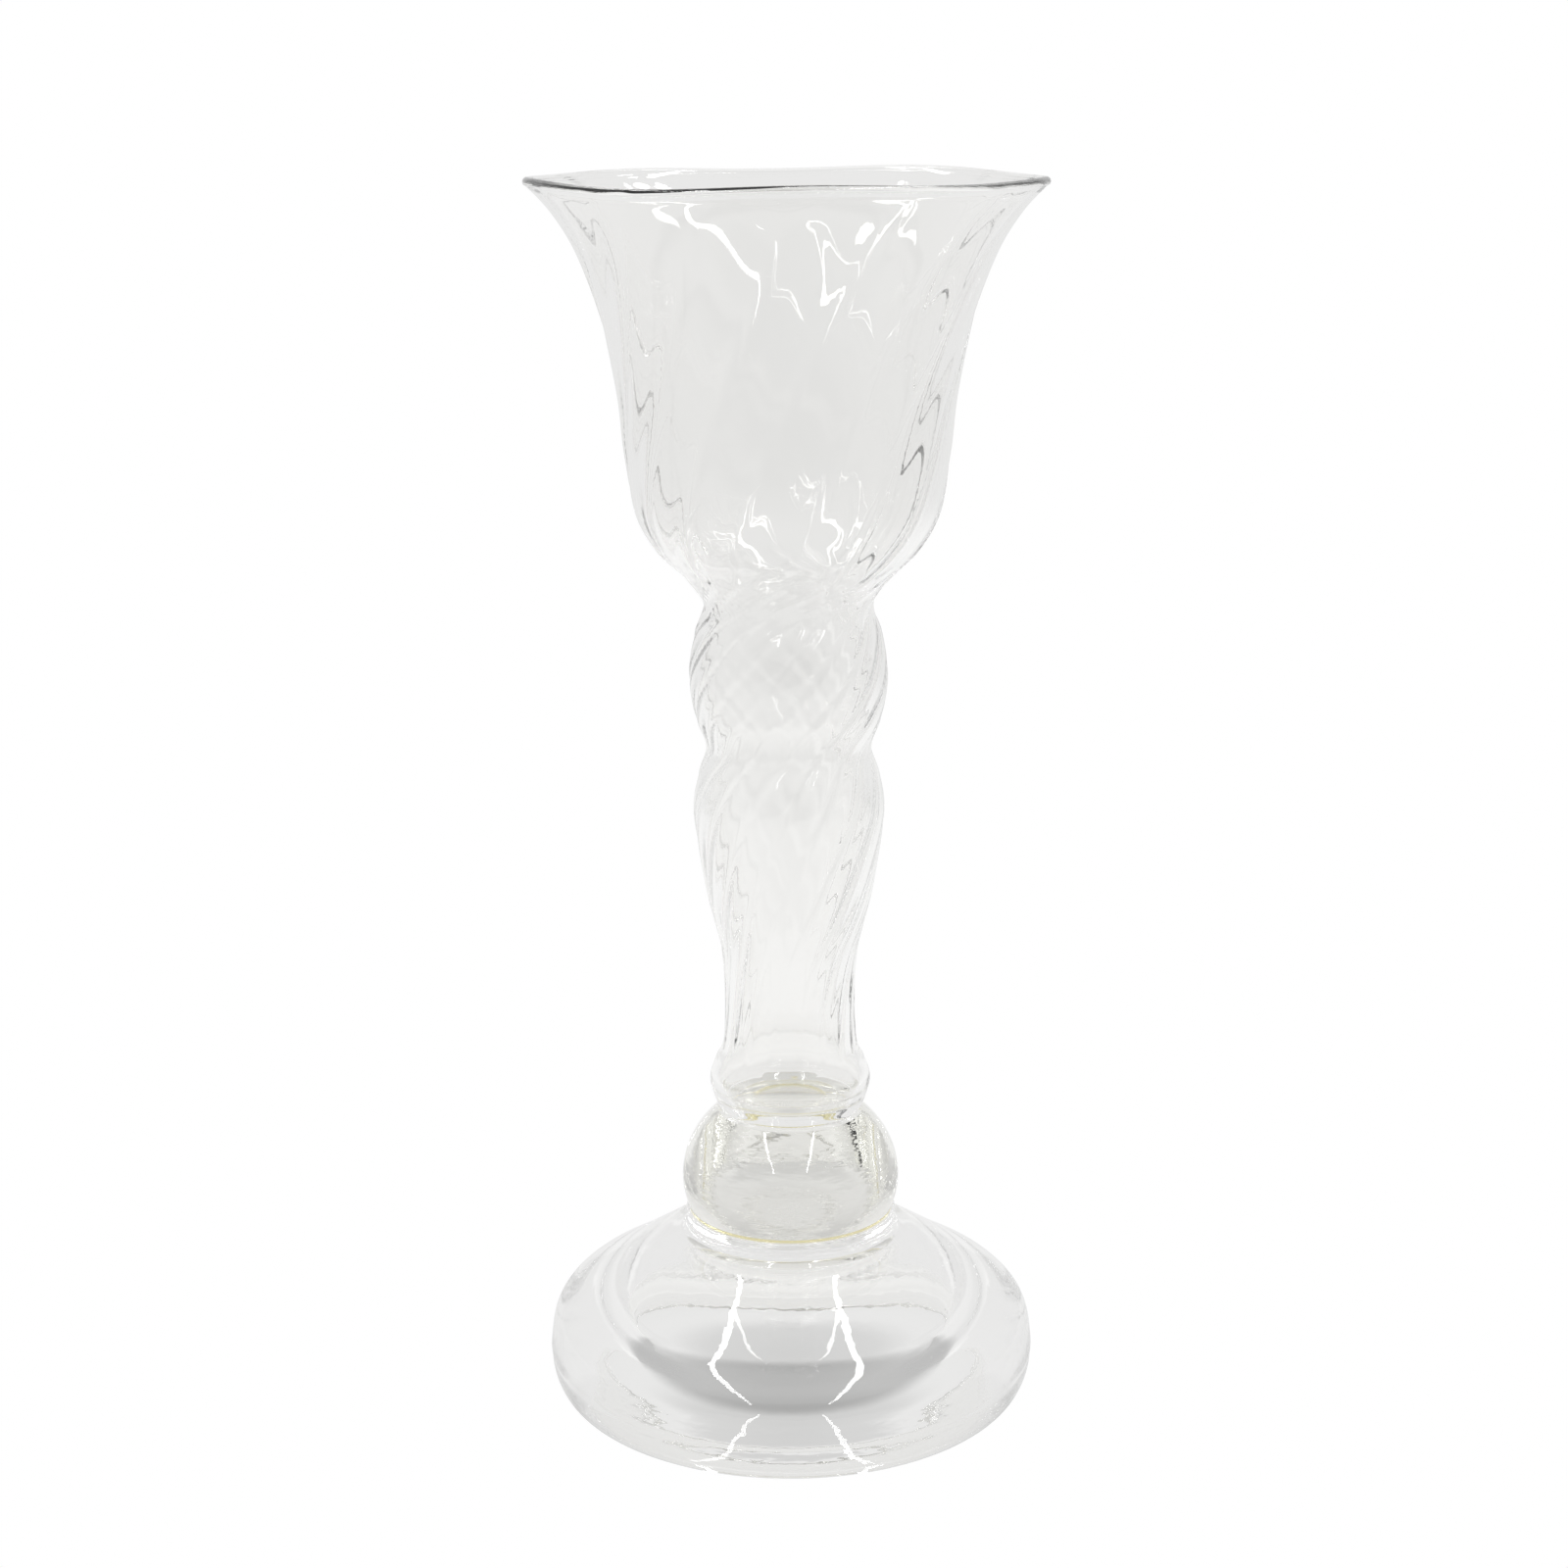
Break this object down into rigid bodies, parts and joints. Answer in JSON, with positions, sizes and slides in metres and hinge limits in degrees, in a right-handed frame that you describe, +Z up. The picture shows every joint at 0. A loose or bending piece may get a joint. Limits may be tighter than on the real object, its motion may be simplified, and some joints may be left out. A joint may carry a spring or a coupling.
{
  "type": "footed glass funnel",
  "caption": "Clear footed glass: flared twist-grooved funnel with knopped hollow stem, glued to a solid glass ball on a heavy domed foot.",
  "frame": {"origin": "centre of the foot's flat ring, on the plane that the object stands on", "axes": "+Z up along the axis that every piece is turned around; the front of the object faces -Y"},
  "size_m": [0.1212, 0.1212, 0.2996],
  "materials": {
    "foot_glass": "polished, clear, heavy",
    "ball_glass": "polished, clear, solid",
    "funnel_glass": "fire-polished, clear, blown",
    "adhesive": "cured clear adhesive, yellowed at its edge"
  },
  "bodies": {
    "root": {"foot": "foot_glass", "lower_bond": "adhesive", "ball_knop": "ball_glass", "upper_bond": "adhesive", "funnel": "funnel_glass"}
  },
  "joints": []
}
